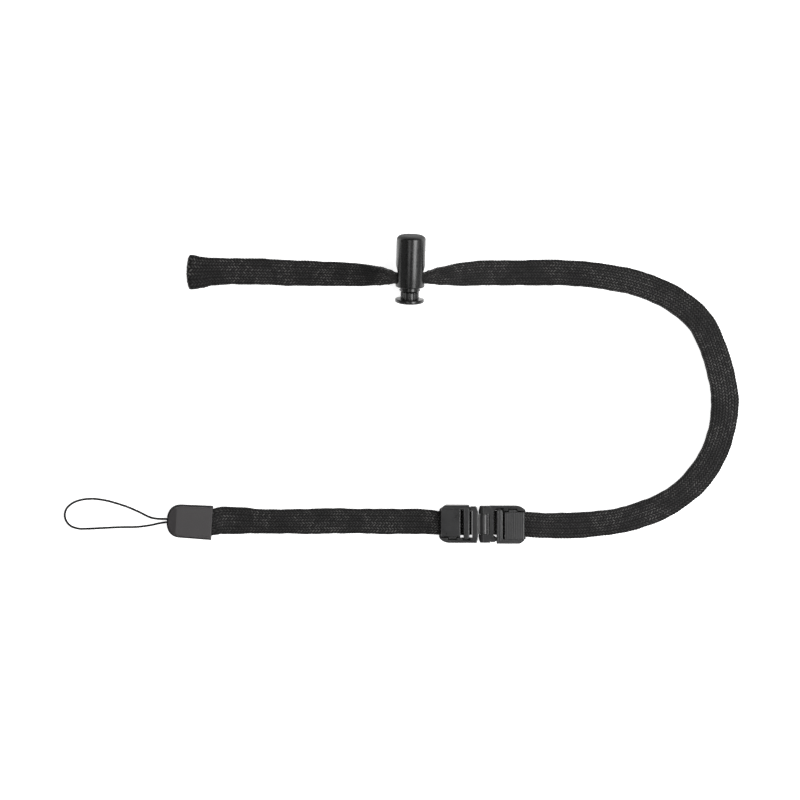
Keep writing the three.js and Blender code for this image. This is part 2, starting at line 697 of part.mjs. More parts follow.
const tailZ = LIE + BRAID_THICK / 2;
const tailClampZ = FLOOR_THICK + FACE_GAP + BRAID_THICK / 2;
const tailTabZ = TAB_PART_AT;
const tailRoute = new Route([
  station(-86.6, -53.0, tailTabZ, 10.2 * w),
  station(-80, -53.35, tailTabZ, 10.1 * w),
  station(-74.7, -53.7, tailTabZ - 0.05, 9.9 * w),
  station(-72.7, -53.0, tailZ + 0.8, 10.8 * w),
  station(-70.5, -52.7, tailZ + 0.4, 11.1 * w),
  station(-65, -52.75, tailZ, 10.6 * w),
  station(-57, -53.05, tailZ, 9.6 * w),
  station(-45, -53.15, tailZ, 9.8 * w),
  station(-32, -53.0, tailZ, 10.0 * w),
  station(-18, -52.95, tailZ, 9.9 * w),
  station(-5, -53.1, tailZ, 10.0 * w),
  station(6, -53.2, tailZ + 0.1, 10.0 * w),
  station(11, -53.25, tailZ + 0.6, 9.8 * w),
  station(15.2, -53.62, tailClampZ, 9.4 * w),
  station(22, PIN_PLACE.y + 0.42, tailClampZ, 9.5 * w),
  station(28.5, PIN_PLACE.y + 0.42, tailClampZ, 9.5 * w),
]);
const TAIL_END = tailRoute.stations.length - 1;

const stringLow = STRING_DIAMETER / 2 + 0.05;
const stringRoute = new THREE.CatmullRomCurve3(
  [
    [-91.2, -52.35, TAB_PART_AT],
    [-93.6, -52.1, TAB_PART_AT - 0.05],
    [-96.8, -52.05, 1.3],
    [-100, -51.5, 0.7],
    [-104.4, -49.4, stringLow],
    [-109.0, -47.4, stringLow],
    [-113.5, -45.9, stringLow],
    [-118.1, -44.7, stringLow],
    [-123.2, -44.1, stringLow],
    [-127.8, -44.55, stringLow],
    [-131.2, -45.9, stringLow],
    [-133.4, -47.9, stringLow],
    [-134.2, -50.3, stringLow],
    [-133.7, -52.8, stringLow],
    [-131.9, -54.9, stringLow],
    [-128.7, -56.0, stringLow],
    [-125.0, -56.05, stringLow],
    [-119.6, -55.8, stringLow],
    [-112.0, -55.45, stringLow],
    [-105.0, -55.3, stringLow],
    [-99.9, -54.65, 0.7],
    [-96.6, -53.9, 1.3],
    [-93.6, -53.4, TAB_PART_AT - 0.05],
    [-91.2, -53.35, TAB_PART_AT],
  ].map((p) => new THREE.Vector3(...p)),
  false,
  "centripetal",
);

function stringTube() {
  const ring = new THREE.Shape();
  ring.absarc(0, 0, STRING_DIAMETER / 2, 0, 2 * Math.PI);
  return new THREE.ExtrudeGeometry(ring, { steps: 64, curveSegments: 4, extrudePath: stringRoute });
}

// ---- materials -------------------------------------------------------------------------------------
const braid = new THREE.MeshStandardMaterial({ name: "braid", color: 0x161515, roughness: 0.85, metalness: 0 });
const cord = new THREE.MeshStandardMaterial({ name: "string", color: 0x121212, roughness: 0.7, metalness: 0 });
const buckle = new THREE.MeshStandardMaterial({ name: "buckle", color: 0x2c2c2d, roughness: 0.5, metalness: 0 });
const gloss = new THREE.MeshStandardMaterial({ name: "gloss", color: 0x121213, roughness: 0.25, metalness: 0 });
const grey = new THREE.MeshStandardMaterial({ name: "tab", color: 0x3c393a, roughness: 0.55, metalness: 0 });
const steel = new THREE.MeshStandardMaterial({ name: "steel", color: 0x9a9a98, roughness: 0.35, metalness: 1 });

// ---- assembly --------------------------------------------------------------------------------------
const lanyard = new THREE.Group();
lanyard.name = "lanyard";

function add(parent, name, shape, material) {
  const geometry = shape instanceof THREE.BufferGeometry ? shape : geometryOf(shape);
  const mesh = new THREE.Mesh(geometry, material);
  mesh.name = name;
  parent.add(mesh);
  return mesh;
}

const half = FACE_GAP / 2;
add(lanyard, "neck_strap_loop_end", strand(foldRoute, 0, foldRoute.stations.length - 1, 28, 0, 0, 0), braid);
add(lanyard, "neck_strap_pinch_upper", strand(neckRoute, PINCH_FROM, PINCH_TO, 42, 1, 0, half), braid);
add(lanyard, "neck_strap_pinch_lower", strand(neckRoute, PINCH_FROM, PINCH_TO, 42, -1, 0, half), braid);
add(lanyard, "neck_strap_upper_run", strand(neckRoute, PINCH_TO, NECK_END, 56, 1, half, 0), braid);
add(lanyard, "neck_strap_lower_run", strand(neckRoute, PINCH_TO, NECK_END, 56, -1, half, 0), braid);
add(lanyard, "tail_strap", strand(tailRoute, 0, TAIL_END, 34, 0), braid);
add(lanyard, "string_loop", stringTube(), cord);

const lock = new THREE.Group();
lock.position.copy(lockOrigin);
lock.quaternion.setFromEuler(
  new THREE.Euler(radians(LOCK_TILT - 90), 0, radians(-LOCK_LEAN), "ZYX"),
);
lanyard.add(lock);
add(lock, "lock_barrel", lockBarrel(), gloss);
add(lock, "lock_plunger", lockPlunger(), gloss);
add(lock, "lock_spring", lockSpring(), steel);

const socket = new THREE.Group();
socket.position.set(PIN_PLACE.x, PIN_PLACE.y, 0);
lanyard.add(socket);
add(socket, "socket_frame", socketFrame(), buckle);
add(socket, "socket_lid", buckleLid(SOCKET), buckle);

const clip = new THREE.Group();
clip.position.set(PIN_PLACE.x, PIN_PLACE.y, 0);
clip.rotation.z = Math.PI;
lanyard.add(clip);
add(clip, "clip_frame", clipFrame(), buckle);
add(clip, "clip_lid", buckleLid(CLIP), buckle);

const tab = new THREE.Group();
tab.position.set(TAB_PLACE.x, TAB_PLACE.y, 0);
tab.rotation.z = radians(TAB_TURN);
lanyard.add(tab);
add(tab, "tab_lower_shell", tabLowerShell(), grey);
add(tab, "tab_upper_shell", tabUpperShell(), grey);

const knot = add(tab, "string_knot", stringKnot(), cord);
knot.position.set(KNOT.x, 0, TAB_PART_AT);

export default lanyard;
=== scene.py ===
"""Neck lanyard: doubled flat braid, spring cord lock, breakaway buckle, end tab and string loop.

Everything is laid out in millimetres, as in the part, and turned into metres when a mesh is made.
"""

import json
import math

import bmesh
import bpy
import numpy as np
from mathutils import Matrix, Vector


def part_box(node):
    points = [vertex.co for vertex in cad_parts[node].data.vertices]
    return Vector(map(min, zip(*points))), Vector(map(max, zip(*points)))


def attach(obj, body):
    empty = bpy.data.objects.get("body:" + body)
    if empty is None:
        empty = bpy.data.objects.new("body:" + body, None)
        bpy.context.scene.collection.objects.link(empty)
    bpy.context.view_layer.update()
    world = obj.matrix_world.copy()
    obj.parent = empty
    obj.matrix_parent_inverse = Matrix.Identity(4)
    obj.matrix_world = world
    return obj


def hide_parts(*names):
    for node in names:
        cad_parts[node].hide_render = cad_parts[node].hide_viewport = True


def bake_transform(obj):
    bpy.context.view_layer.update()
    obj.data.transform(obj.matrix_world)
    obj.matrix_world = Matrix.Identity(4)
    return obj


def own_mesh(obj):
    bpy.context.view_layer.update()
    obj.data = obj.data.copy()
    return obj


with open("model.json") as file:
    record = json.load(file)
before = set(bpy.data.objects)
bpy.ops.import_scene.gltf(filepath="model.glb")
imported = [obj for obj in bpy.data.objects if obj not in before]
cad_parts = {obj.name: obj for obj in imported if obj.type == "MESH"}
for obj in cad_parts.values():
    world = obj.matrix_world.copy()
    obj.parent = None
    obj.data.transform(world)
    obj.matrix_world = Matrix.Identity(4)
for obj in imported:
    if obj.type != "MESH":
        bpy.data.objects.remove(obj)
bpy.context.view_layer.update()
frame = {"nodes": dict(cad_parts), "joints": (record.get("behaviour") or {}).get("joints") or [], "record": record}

MM = 0.001
joints = {j["name"]: j for j in frame["joints"]}
scene = bpy.context.scene

# ---- driving sizes, millimetres --------------------------------------------------------------------
BRAID_WIDTH = 10
BRAID_THICK = 1.6
LAYER_GAP = 0.3  # between the two strands
CLAMPED_THICK = 1.1
LIE = 0.04  # from the ground to the lowest strand
YARN_PITCH = 1.2  # along the braid
YARN_COLUMNS = 20  # round the braid
YARN_SLANT = 0.85  # how far a yarn advances across its column, in pitches
YARN_DEPTH = 0.17  # from a yarn's crown to the valley beside it
STRING_DIAMETER = 0.9
STRING_PITCH = 0.8
STRING_COLUMNS = 8

# The cord lock's own heights are along its axis, from the barrel's open end.
BARREL_RADIUS = 5.8
BARREL_TOP_AT = 20.9
WAIST_HALF = 4.9  # half the barrel's width where the strands leave it
BORE_RADIUS = 4.4
STEM_RADIUS = 3.3
GUIDE_RADIUS = 4.2  # the plunger's guide, in the bore
GUIDE_TOP_AT = 8.6
HOLE_AT = 4.1  # the middle of the barrel's through hole
HOLE_LENGTH = 5.6
HOLE_HEIGHT = 6.0
REST_OFFSET = 1.1  # how far the plunger's hole is out of line at rest
PINCH_WIDTH = HOLE_LENGTH - REST_OFFSET - 0.6
PINCH_THICK = (HOLE_HEIGHT - LAYER_GAP) / 2 - 0.55
HEAD_FACE_AT = -4.83  # the head's inner face
LOCK_LEAN = math.radians(1.7)
LOCK_TILT = math.asin(joints["plunger_press"]["axis"][2])
HEAD_RADIUS = 5.8
HEAD_OUTER_AT = -6.23  # the head's outer rim
LOCK_HEIGHT = HEAD_RADIUS * math.cos(LOCK_TILT) - HEAD_OUTER_AT * math.sin(LOCK_TILT)
LOCK_PLACE = Vector((3.75, 40.4, LOCK_HEIGHT))
LOCK_TURN = Matrix.Rotation(-LOCK_LEAN, 4, "Z") @ Matrix.Rotation(LOCK_TILT - math.pi / 2, 4, "X")
LOCK_FRAME = Matrix.Translation(LOCK_PLACE * MM) @ LOCK_TURN
STRAP_IN_LOCK = LOCK_PLACE + LOCK_TURN @ Vector((0, 0, HOLE_AT - REST_OFFSET / 2))
SATIN_FROM, SATIN_TO = 0.0583, 0.0598  # along Y in metres, where the barrel's domed end turns satin
PIN_PLACE = Vector((33.25, -54.1, 2.6))
SEALED_END = 0.35  # the bead that heat sealing leaves past the cut
TAB_PLACE = Vector((-84.3, -53.15, 0))
TAB_TURN = math.radians(-3.4)
TAB_PART_AT = 2.05


# ---- camera, lights and floor ----------------------------------------------------------------------
def make_camera():
    height, seen = 1.0, 0.320
    data = bpy.data.cameras.new("camera")
    data.sensor_width = 36.0
    data.lens = data.sensor_width * height / seen
    data.clip_start = 0.01
    camera = bpy.data.objects.new("camera", data)
    camera.location = (-0.0002, -0.0046, height)
    scene.collection.objects.link(camera)
    scene.camera = camera


def area_light(name, tilt, turn, width, length, radiance):
    """A soft box tilt degrees off the vertical, towards turn degrees round from +X, long across that."""
    distance = 1.4
    data = bpy.data.lights.new(name, "AREA")
    data.shape = "RECTANGLE"
    data.size = width
    data.size_y = length
    data.energy = radiance * width * length * math.pi
    t, a = math.radians(tilt), math.radians(turn)
    light = bpy.data.objects.new(name, data)
    light.location = distance * Vector((math.sin(t) * math.cos(a), math.sin(t) * math.sin(a), math.cos(t)))
    light.rotation_euler = (0, t, a)
    scene.collection.objects.link(light)


def make_lights():
    area_light("key", 34, 0, 0.62, 1.5, 8.5)
    area_light("rim", -13, 0, 0.34, 1.5, 2.6)
    area_light("left", 62, 180, 1.0, 1.6, 0.25)
    area_light("right", 68, 0, 0.6, 1.6, 0.6)
    area_light("back", 58, 90, 0.8, 1.6, 0.08)
    area_light("front", 60, 270, 0.8, 1.6, 0.3)
    world = bpy.data.worlds.new("studio")
    world.use_nodes = True
    background = world.node_tree.nodes["Background"]
    background.inputs["Color"].default_value = (1, 1, 1, 1)
    background.inputs["Strength"].default_value = 0.04
    scene.world = world
    scene.view_settings.view_transform = "Standard"


def make_floor():
    half = 3.0
    mesh = bpy.data.meshes.new("floor")
    corners = [(-half, -half, 0), (half, -half, 0), (half, half, 0), (-half, half, 0)]
    mesh.from_pydata(corners, [], [(0, 1, 2, 3)])
    floor = bpy.data.objects.new("floor", mesh)
    scene.collection.objects.link(floor)
    m = Nodes("floor_paper")
    m.shader(color=(0.9, 0.9, 0.9), roughness=0.9, specular=0.1)
    m.bsdf.inputs["Emission Color"].default_value = (1, 1, 1, 1)
    m.bsdf.inputs["Emission Strength"].default_value = 0.8
    mesh.materials.append(m.material)


# ---- material kit ----------------------------------------------------------------------------------
class Nodes:
    """A material and short ways to add to its node tree. An input is a socket or a number."""

    def __init__(self, name):
        self.material = bpy.data.materials.new(name)
        self.material.use_nodes = True
        self.tree = self.material.node_tree
        self.bsdf = self.tree.nodes["Principled BSDF"]

    def put(self, target, value):
        if isinstance(value, bpy.types.NodeSocket):
            self.tree.links.new(value, target)
        elif value is not None:
            target.default_value = value

    def node(self, kind, out=0, inputs=None, **settings):
        made = self.tree.nodes.new(kind)
        for key, value in settings.items():
            setattr(made, key, value)
        for key, value in (inputs or {}).items():
            self.put(made.inputs[key], value)
        return made.outputs[out]

    def math(self, operation, a, b=None):
        return self.node("ShaderNodeMath", inputs={0: a, 1: b}, operation=operation)

    def add(self, a, b):
        return self.math("ADD", a, b)

    def sub(self, a, b):
        return self.math("SUBTRACT", a, b)

    def mul(self, a, b):
        return self.math("MULTIPLY", a, b)

    def mix(self, factor, a, b):
        """A blend of two colours."""
        made = self.tree.nodes.new("ShaderNodeMix")
        made.data_type = "RGBA"
        self.put(made.inputs["Factor"], factor)
        for key, value in (("A", a), ("B", b)):
            socket = [s for s in made.inputs if s.name == key and s.type == "RGBA"][0]
            self.put(socket, value if isinstance(value, bpy.types.NodeSocket) else (*value, 1))
        return [s for s in made.outputs if s.type == "RGBA"][0]

    def ramp(self, value, low, high, to_low=0.0, to_high=1.0):
        """A smooth step from to_low at low to to_high at high."""
        inputs = {0: value, 1: low, 2: high, 3: to_low, 4: to_high}
        return self.node("ShaderNodeMapRange", inputs=inputs, interpolation_type="SMOOTHSTEP")

    def place(self):
        return self.node("ShaderNodeTexCoord", out="Object")

    def noise(self, scale, detail=3, roughness=0.55, vector=None):
        vector = vector or self.place()
        inputs = {"Vector": vector, "Scale": scale, "Detail": detail, "Roughness": roughness}
        return self.node("ShaderNodeTexNoise", inputs=inputs)

    def chance(self, x, y, z):
        """An even random value for each place."""
        inputs = {"Vector": self.vector(x, y, z)}
        return self.node("ShaderNodeTexWhiteNoise", inputs=inputs, noise_dimensions="3D")

    def vector(self, x, y, z):
        return self.node("ShaderNodeCombineXYZ", inputs={0: x, 1: y, 2: z})

    def split(self, vector):
        made = self.tree.nodes.new("ShaderNodeSeparateXYZ")
        self.put(made.inputs[0], vector)
        return made.outputs[0], made.outputs[1], made.outputs[2]

    def bump(self, height, distance, strength=1.0, normal=None):
        inputs = {"Height": height, "Distance": distance, "Strength": strength}
        if normal is not None:
            inputs["Normal"] = normal
        return self.node("ShaderNodeBump", inputs=inputs)

    def shader(self, color, roughness, specular=0.5, normal=None, metallic=0.0, sheen=0.0):
        ins = self.bsdf.inputs
        self.put(ins["Base Color"], color if isinstance(color, bpy.types.NodeSocket) else (*color, 1))
        self.put(ins["Roughness"], roughness)
        ins["Specular IOR Level"].default_value = specular
        ins["Metallic"].default_value = metallic
        if sheen:
            ins["Sheen Weight"].default_value = sheen
            ins["Sheen Roughness"].default_value = 0.45
            ins["Sheen Tint"].default_value = (0.75, 0.74, 0.72, 1)
        self.put(ins["Normal"], normal)


def yarn_cell(m, slant):
    """The yarn that a spot of a braid lies on: its number, its column, and how far across both it is."""
    u, v, _ = m.split(m.node("ShaderNodeUVMap", uv_map="strand"))
    column = m.math("FLOOR", v)
    across = m.sub(v, column)
    odd = m.math("MODULO", column, 2.0)
    sign = m.sub(1.0, m.mul(odd, 2.0))
    phase = m.add(u, m.mul(m.mul(sign, m.sub(across, 0.5)), slant))
    phase = m.add(phase, m.mul(odd, 0.5))
    cell = m.math("FLOOR", phase)
    return cell, column, m.sub(phase, cell), across


def hump(m, share, power, fall=1.0):
    """1 in the middle of a share from 0 to 1, falling by fall at its ends."""
    off = m.math("ABSOLUTE", m.sub(m.mul(share, 2.0), 1.0))
    return m.sub(1.0, m.mul(m.math("POWER", off, power), fall))


def braid_material(name, slant, yarn, valley_shade, glint_and_lint, relief, filaments=7.0):
    """Black yarn in a braid: each float is a bundle of filaments. The valleys between yarns are painted darker as
    shade, and the crowns of some yarns carry painted glints.
    """
    m = Nodes(name)
    cell, column, q, p = yarn_cell(m, slant)
    crown = m.mul(hump(m, q, 2.2), hump(m, p, 3.0, 0.8))
    seed = m.chance(cell, column, 3.1)
    other = m.chance(column, cell, 8.7)
    strands = m.math("SINE", m.mul(m.add(q, m.mul(other, 0.3)), 2 * math.pi * filaments))
    fray = m.noise(900, 4, 0.7)
    patches = m.noise(95, 2, 0.5)
    # painted shade: the valleys between yarns are painted darker than the crowns
    body = m.mix(m.ramp(crown, 0.28, 0.9), valley_shade, yarn)
    # painted highlight: the crown tips of some yarns are painted light, as glints
    painted_glints = m.mul(m.ramp(seed, 0.1, 1.0, 0.15, 1.0), m.ramp(crown, 0.55, 0.98))
    painted_glints = m.mul(painted_glints, m.ramp(patches, 0.4, 0.62, 0.12, 1.0))
    body = m.mix(painted_glints, body, glint_and_lint)
    # lint: light fibres, in the same colour as the painted glints
    dust = m.ramp(fray, 0.55, 0.8, 0.0, 0.2)
    body = m.mix(dust, body, glint_and_lint)
    height = m.add(m.mul(crown, 0.8), m.mul(strands, 0.07))
    height = m.add(height, m.mul(fray, 0.25))
    rough = m.add(0.5, m.mul(m.sub(1.0, crown), 0.25))
    rough = m.add(rough, m.mul(m.sub(other, 0.5), 0.2))
    m.shader(color=body, roughness=rough, specular=0.22, normal=m.bump(height, relief, 0.7), sheen=0.03)
    return m.material


def rounded(m, radius):
    """The surface's direction with its edges rounded by radius, and how near to an edge a spot is."""
    soft = m.node("ShaderNodeBevel", inputs={"Radius": radius}, samples=8)
    flat = m.node("ShaderNodeNewGeometry", out="Normal")
    same = m.node("ShaderNodeVectorMath", out="Value", inputs={0: soft, 1: flat}, operation="DOT_PRODUCT")
    return soft, m.ramp(same, 0.995, 0.8, 0.0, 1.0)


def plastic_material(name, base, worn_and_highlight, rough, grain=0.000012, ribs=False):
    """Moulded plastic: satin grain, a little mottling, and edges lighter from handling wear and a painted edge
    highlight.
    """
    m = Nodes(name)
    soft, near_edge = rounded(m, 0.00016)
    grainy = m.noise(5200, 2, 0.6)
    smears = m.noise(160, 4, 0.6)
    specks = m.noise(2600, 1, 0.5)
    color = m.mix(m.ramp(smears, 0.3, 0.7, 0.0, 0.5), base, [c * 1.3 for c in base])
    color = m.mix(m.ramp(specks, 0.66, 0.78, 0.0, 0.35), color, worn_and_highlight)
    # edges lightened: partly handling wear, partly a painted edge highlight
    edge_wear_and_highlight = m.mul(near_edge, m.ramp(smears, 0.35, 0.6, 0.35, 1.0))
    color = m.mix(m.mul(edge_wear_and_highlight, 0.8), color, worn_and_highlight)
    height = grainy
    if ribs:
        x, _, _ = m.split(m.place())
        rib_pitch = 0.0009
        lines = m.math("SINE", m.mul(x, 2 * math.pi / rib_pitch))
        height = m.add(height, m.mul(m.ramp(lines, 0.3, 0.9), 2.2))
    rougher = m.add(rough, m.mul(m.sub(smears, 0.5), 0.22))
    rougher = m.sub(rougher, m.mul(edge_wear_and_highlight, 0.12))
    m.shader(color=color, roughness=rougher, normal=m.bump(height, grain, 0.6, soft))
    return m.material


def gloss_material(name, base, worn_and_highlight):
    """Glossy moulded plastic with faint flow lines along the draw, smears and dust."""
    m = Nodes(name)
    soft, near_edge = rounded(m, 0.0002)
    x, y, z = m.split(m.place())
    drawn = m.noise(1.0, 3, 0.6, m.vector(m.mul(x, 1500.0), m.mul(y, 60.0), m.mul(z, 1500.0)))
    smears = m.noise(240, 4, 0.6)
    dust = m.noise(3100, 1, 0.5)
    color = m.mix(m.ramp(smears, 0.35, 0.7, 0.0, 0.6), base, [c * 1.5 for c in base])
    color = m.mix(m.ramp(dust, 0.7, 0.8, 0.0, 0.5), color, worn_and_highlight)
    # edges lightened: partly handling wear, partly a painted edge highlight
    color = m.mix(m.mul(near_edge, 0.5), color, worn_and_highlight)
    rough = m.add(0.2, m.mul(smears, 0.12))
    rough = m.add(rough, m.mul(m.ramp(drawn, 0.5, 0.75), 0.12))
    rough = m.add(rough, m.ramp(y, SATIN_FROM, SATIN_TO, 0.0, 0.45))
    m.shader(color=color, roughness=rough, normal=m.bump(m.add(drawn, m.mul(dust, 0.3)), 0.000012, 0.5, soft))
    return m.material


def steel_material(name):
    """Drawn spring wire with lengthwise scratches."""
    m = Nodes(name)
    scratch = m.noise(2400, 3, 0.7)
    color = m.mix(scratch, (0.42, 0.42, 0.41), (0.62, 0.62, 0.60))
    m.shader(color=color, roughness=m.ramp(scratch, 0.2, 0.8, 0.25, 0.45), metallic=1.0,
             normal=m.bump(scratch, 0.00001, 0.4))
    return m.material


def make_materials():
    return {
        # braid and string colours: yarn, painted valley shade, then lint and painted glint
        "braid": braid_material("black_braid", YARN_SLANT, (0.0105, 0.0100, 0.0100), (0.002, 0.002, 0.002),
                                (0.085, 0.082, 0.080), 0.00014),
        "string": braid_material("black_string", 0.9, (0.009, 0.009, 0.009), (0.003, 0.003, 0.003),
                                 (0.03, 0.03, 0.03), 0.00005, 4.0),
        # plastics: base colour, then the colour for worn specks, edge wear and painted edge highlight
        "buckle": plastic_material("buckle_plastic", (0.014, 0.014, 0.0145), (0.085, 0.085, 0.085), 0.3),
        "ribbed": plastic_material("lid_plastic", (0.017, 0.017, 0.0175), (0.11, 0.11, 0.11), 0.32,
                                   ribs=True),
        "tab": plastic_material("tab_plastic", (0.033, 0.030, 0.031), (0.08, 0.076, 0.077), 0.5, 0.000006),
        "gloss": gloss_material("lock_plastic", (0.006, 0.006, 0.006), (0.05, 0.05, 0.05)),
        "steel": steel_material("spring_steel"),
    }


# ---- routes ----------------------------------------------------------------------------------------
def station(x, y, z, width=BRAID_WIDTH, thick=BRAID_THICK, roll=0):
    return (x, y, z, width, thick, roll)


FLAT_Z = LIE + BRAID_THICK + LAYER_GAP / 2
CLAMP_Z = 1.0 + LAYER_GAP + CLAMPED_THICK + LAYER_GAP / 2
TAIL_Z = LIE + BRAID_THICK / 2
TAIL_CLAMP_Z = 1.0 + LAYER_GAP + BRAID_THICK / 2
TILT_DEGREES = math.degrees(LOCK_TILT)

NECK_ROUTE = [
    station(-62, 46.75, FLAT_Z, 10.4),
    station(-50, 46.4, FLAT_Z, 10.1),
    station(-38, 46.0, FLAT_Z + 0.1, 10.0),
    station(-26, 45.6, FLAT_Z + 1.3, 9.5, 1.7, 2),
    station(-16, 45.2, FLAT_Z + 3.2, 8.8, 1.8, 5),
    station(-8.2, 44.6, STRAP_IN_LOCK.z - 0.35, 7.3, 2.0, 8),
    station(-4.6, 44.2, STRAP_IN_LOCK.z - 0.1, 5.5, 2.2, TILT_DEGREES),
    station(STRAP_IN_LOCK.x - 5.6, STRAP_IN_LOCK.y, STRAP_IN_LOCK.z, PINCH_WIDTH, PINCH_THICK, TILT_DEGREES),
    station(STRAP_IN_LOCK.x + 5.6, STRAP_IN_LOCK.y, STRAP_IN_LOCK.z, PINCH_WIDTH, PINCH_THICK, TILT_DEGREES),
    station(11.8, 44.15, STRAP_IN_LOCK.z - 0.1, 5.0, 2.2, TILT_DEGREES),
    station(16.0, 44.6, STRAP_IN_LOCK.z - 0.8, 7.0, 2.0, 8),
    station(24, 45.4, FLAT_Z + 3.2, 9.0, 1.8, 4),
    station(32, 46.0, FLAT_Z + 1.6, 9.8, 1.7, 2),
    station(42, 46.1, FLAT_Z + 0.4, 9.9),
    station(54, 46.3, FLAT_Z),
    station(66, 46.1, FLAT_Z),
    station(78, 45.2, FLAT_Z),
    station(89, 43.3, FLAT_Z),
    station(100, 40.1, FLAT_Z),
    station(109, 35.8, FLAT_Z, 10.2),
    station(116.5, 30.0, FLAT_Z, 10.4),
    station(121.2, 24.2, FLAT_Z, 10.3),
    station(125.0, 16.0, FLAT_Z, 10.4),
    station(127.9, 6.0, FLAT_Z, 10.6),
    station(129.5, -4.6, FLAT_Z, 10.6),
    station(128.6, -15.0, FLAT_Z, 10.5),
    station(125.0, -26.0, FLAT_Z, 10.3),
    station(118.6, -36.0, FLAT_Z, 10.2),
    station(108.6, -44.6, FLAT_Z, 10.0),
    station(96.5, -50.2, FLAT_Z, 10.0),
    station(84.6, -53.2, FLAT_Z, 10.0),
    station(72.0, -54.5, FLAT_Z, 10.0),
    station(60, -54.7, FLAT_Z + 0.15, 10.0),
    station(53, -54.4, FLAT_Z + 0.9, 9.9, 1.3),
    station(49.2, PIN_PLACE.y, CLAMP_Z, 9.8, CLAMPED_THICK),
    station(44, PIN_PLACE.y + 0.2, CLAMP_Z, 9.9, CLAMPED_THICK),
    station(39.5, PIN_PLACE.y + 0.45, CLAMP_Z, 9.5, CLAMPED_THICK),
    station(37.22 - SEALED_END, PIN_PLACE.y + 0.5, CLAMP_Z, 9.3, CLAMPED_THICK),
]
LOCK_INDEX = 7.5  # the middle of the lock, between two stations

FOLD_RADIUS = (BRAID_THICK + LAYER_GAP) / 2
FOLD_AT = -83.5  # the middle of the fold's round, along X
# Places along X on the way to the fold, with the width there and the place along Y.
FOLD_PART = [
    (-62.4, 10.4, 46.75),
    (-69, 10.4, 46.8),
    (-75, 10.8, 46.7),
    (-79.5, 12.4, 46.45),
    (-82.4, 13.5, 46.35),
]


def fold_route(side):
    """From the fold's middle line along the upper strand (side 1) or the lower one (side -1)."""
    turn = [math.radians(a) for a in (180, 135, 90)]
    bend = [
        station(FOLD_AT + FOLD_RADIUS * math.cos(a), 46.35, FLAT_Z + side * FOLD_RADIUS * math.sin(a), 13.7)
        for a in turn
    ]
    run = [station(x, y, FLAT_Z + side * FOLD_RADIUS, width) for x, width, y in reversed(FOLD_PART)]
    return bend + run


TAIL_ROUTE = [
    station(-86.6, -53.0, TAB_PART_AT, 10.2),
    station(-80, -53.35, TAB_PART_AT, 10.1),
    station(-74.7, -53.7, TAB_PART_AT - 0.05, 9.9),
    station(-72.7, -53.0, TAIL_Z + 0.8, 10.8),
    station(-70.5, -52.7, TAIL_Z + 0.4, 11.1),
    station(-65, -52.75, TAIL_Z, 10.6),
    station(-57, -53.05, TAIL_Z, 9.6),
    station(-45, -53.15, TAIL_Z, 9.8),
    station(-32, -53.0, TAIL_Z, 10.0),
    station(-18, -52.95, TAIL_Z, 9.9),
    station(-5, -53.1, TAIL_Z, 10.0),
    station(6, -53.2, TAIL_Z + 0.1, 10.0),
    station(11, -53.25, TAIL_Z + 0.6, 9.8),
    station(15.2, -53.62, TAIL_CLAMP_Z, 9.4),
    station(22, PIN_PLACE.y + 0.42, TAIL_CLAMP_Z, 9.5),
    station(28.5, PIN_PLACE.y + 0.42, TAIL_CLAMP_Z, 9.5),
]

STRING_Z = STRING_DIAMETER / 2 + 0.05
STRING_ROUTE = [
    (-91.2, -52.35, TAB_PART_AT),
    (-93.6, -52.1, TAB_PART_AT - 0.05),
    (-96.8, -52.05, 1.3),
    (-100, -51.5, 0.7),
    (-104.4, -49.4, STRING_Z),
    (-109.0, -47.4, STRING_Z),
    (-113.5, -45.9, STRING_Z),
    (-118.1, -44.7, STRING_Z),
    (-123.2, -44.1, STRING_Z),
    (-127.8, -44.55, STRING_Z),
    (-131.2, -45.9, STRING_Z),
    (-133.4, -47.9, STRING_Z),
    (-134.2, -50.3, STRING_Z),
    (-133.7, -52.8, STRING_Z),
    (-131.9, -54.9, STRING_Z),
    (-128.7, -56.0, STRING_Z),
    (-125.0, -56.05, STRING_Z),
    (-119.6, -55.8, STRING_Z),
    (-112.0, -55.45, STRING_Z),
    (-105.0, -55.3, STRING_Z),
    (-99.9, -54.65, 0.7),
    (-96.6, -53.9, 1.3),
    (-93.6, -53.4, TAB_PART_AT - 0.05),
    (-91.2, -53.35, TAB_PART_AT),
]


# ---- strands ---------------------------------------------------------------------------------------
def unit(v):
    return v / np.maximum(np.linalg.norm(v, axis=-1, keepdims=True), 1e-12)


def spline(points, index):
    """Centripetal Catmull-Rom through the points, at fractional indices."""
    p = np.asarray(points, float)
    padded = np.vstack([2 * p[0] - p[1], p, 2 * p[-1] - p[-2]])
    i = np.clip(np.floor(index).astype(int), 0, len(p) - 2)
    f = (index - i)[:, None]
    p0, p1, p2, p3 = (padded[i + k] for k in range(4))
    pairs = ((p0, p1), (p1, p2), (p2, p3))
    d0, d1, d2 = (np.linalg.norm(b - a, axis=1, keepdims=True) ** 0.5 for a, b in pairs)
    t1 = ((p1 - p0) / d0 - (p2 - p0) / (d0 + d1) + (p2 - p1) / d1) * d1
    t2 = ((p2 - p1) / d1 - (p3 - p1) / (d1 + d2) + (p3 - p2) / d2) * d1
    return p1 + t1 * f + (3 * (p2 - p1) - 2 * t1 - t2) * f**2 + (2 * (p1 - p2) + t1 + t2) * f**3


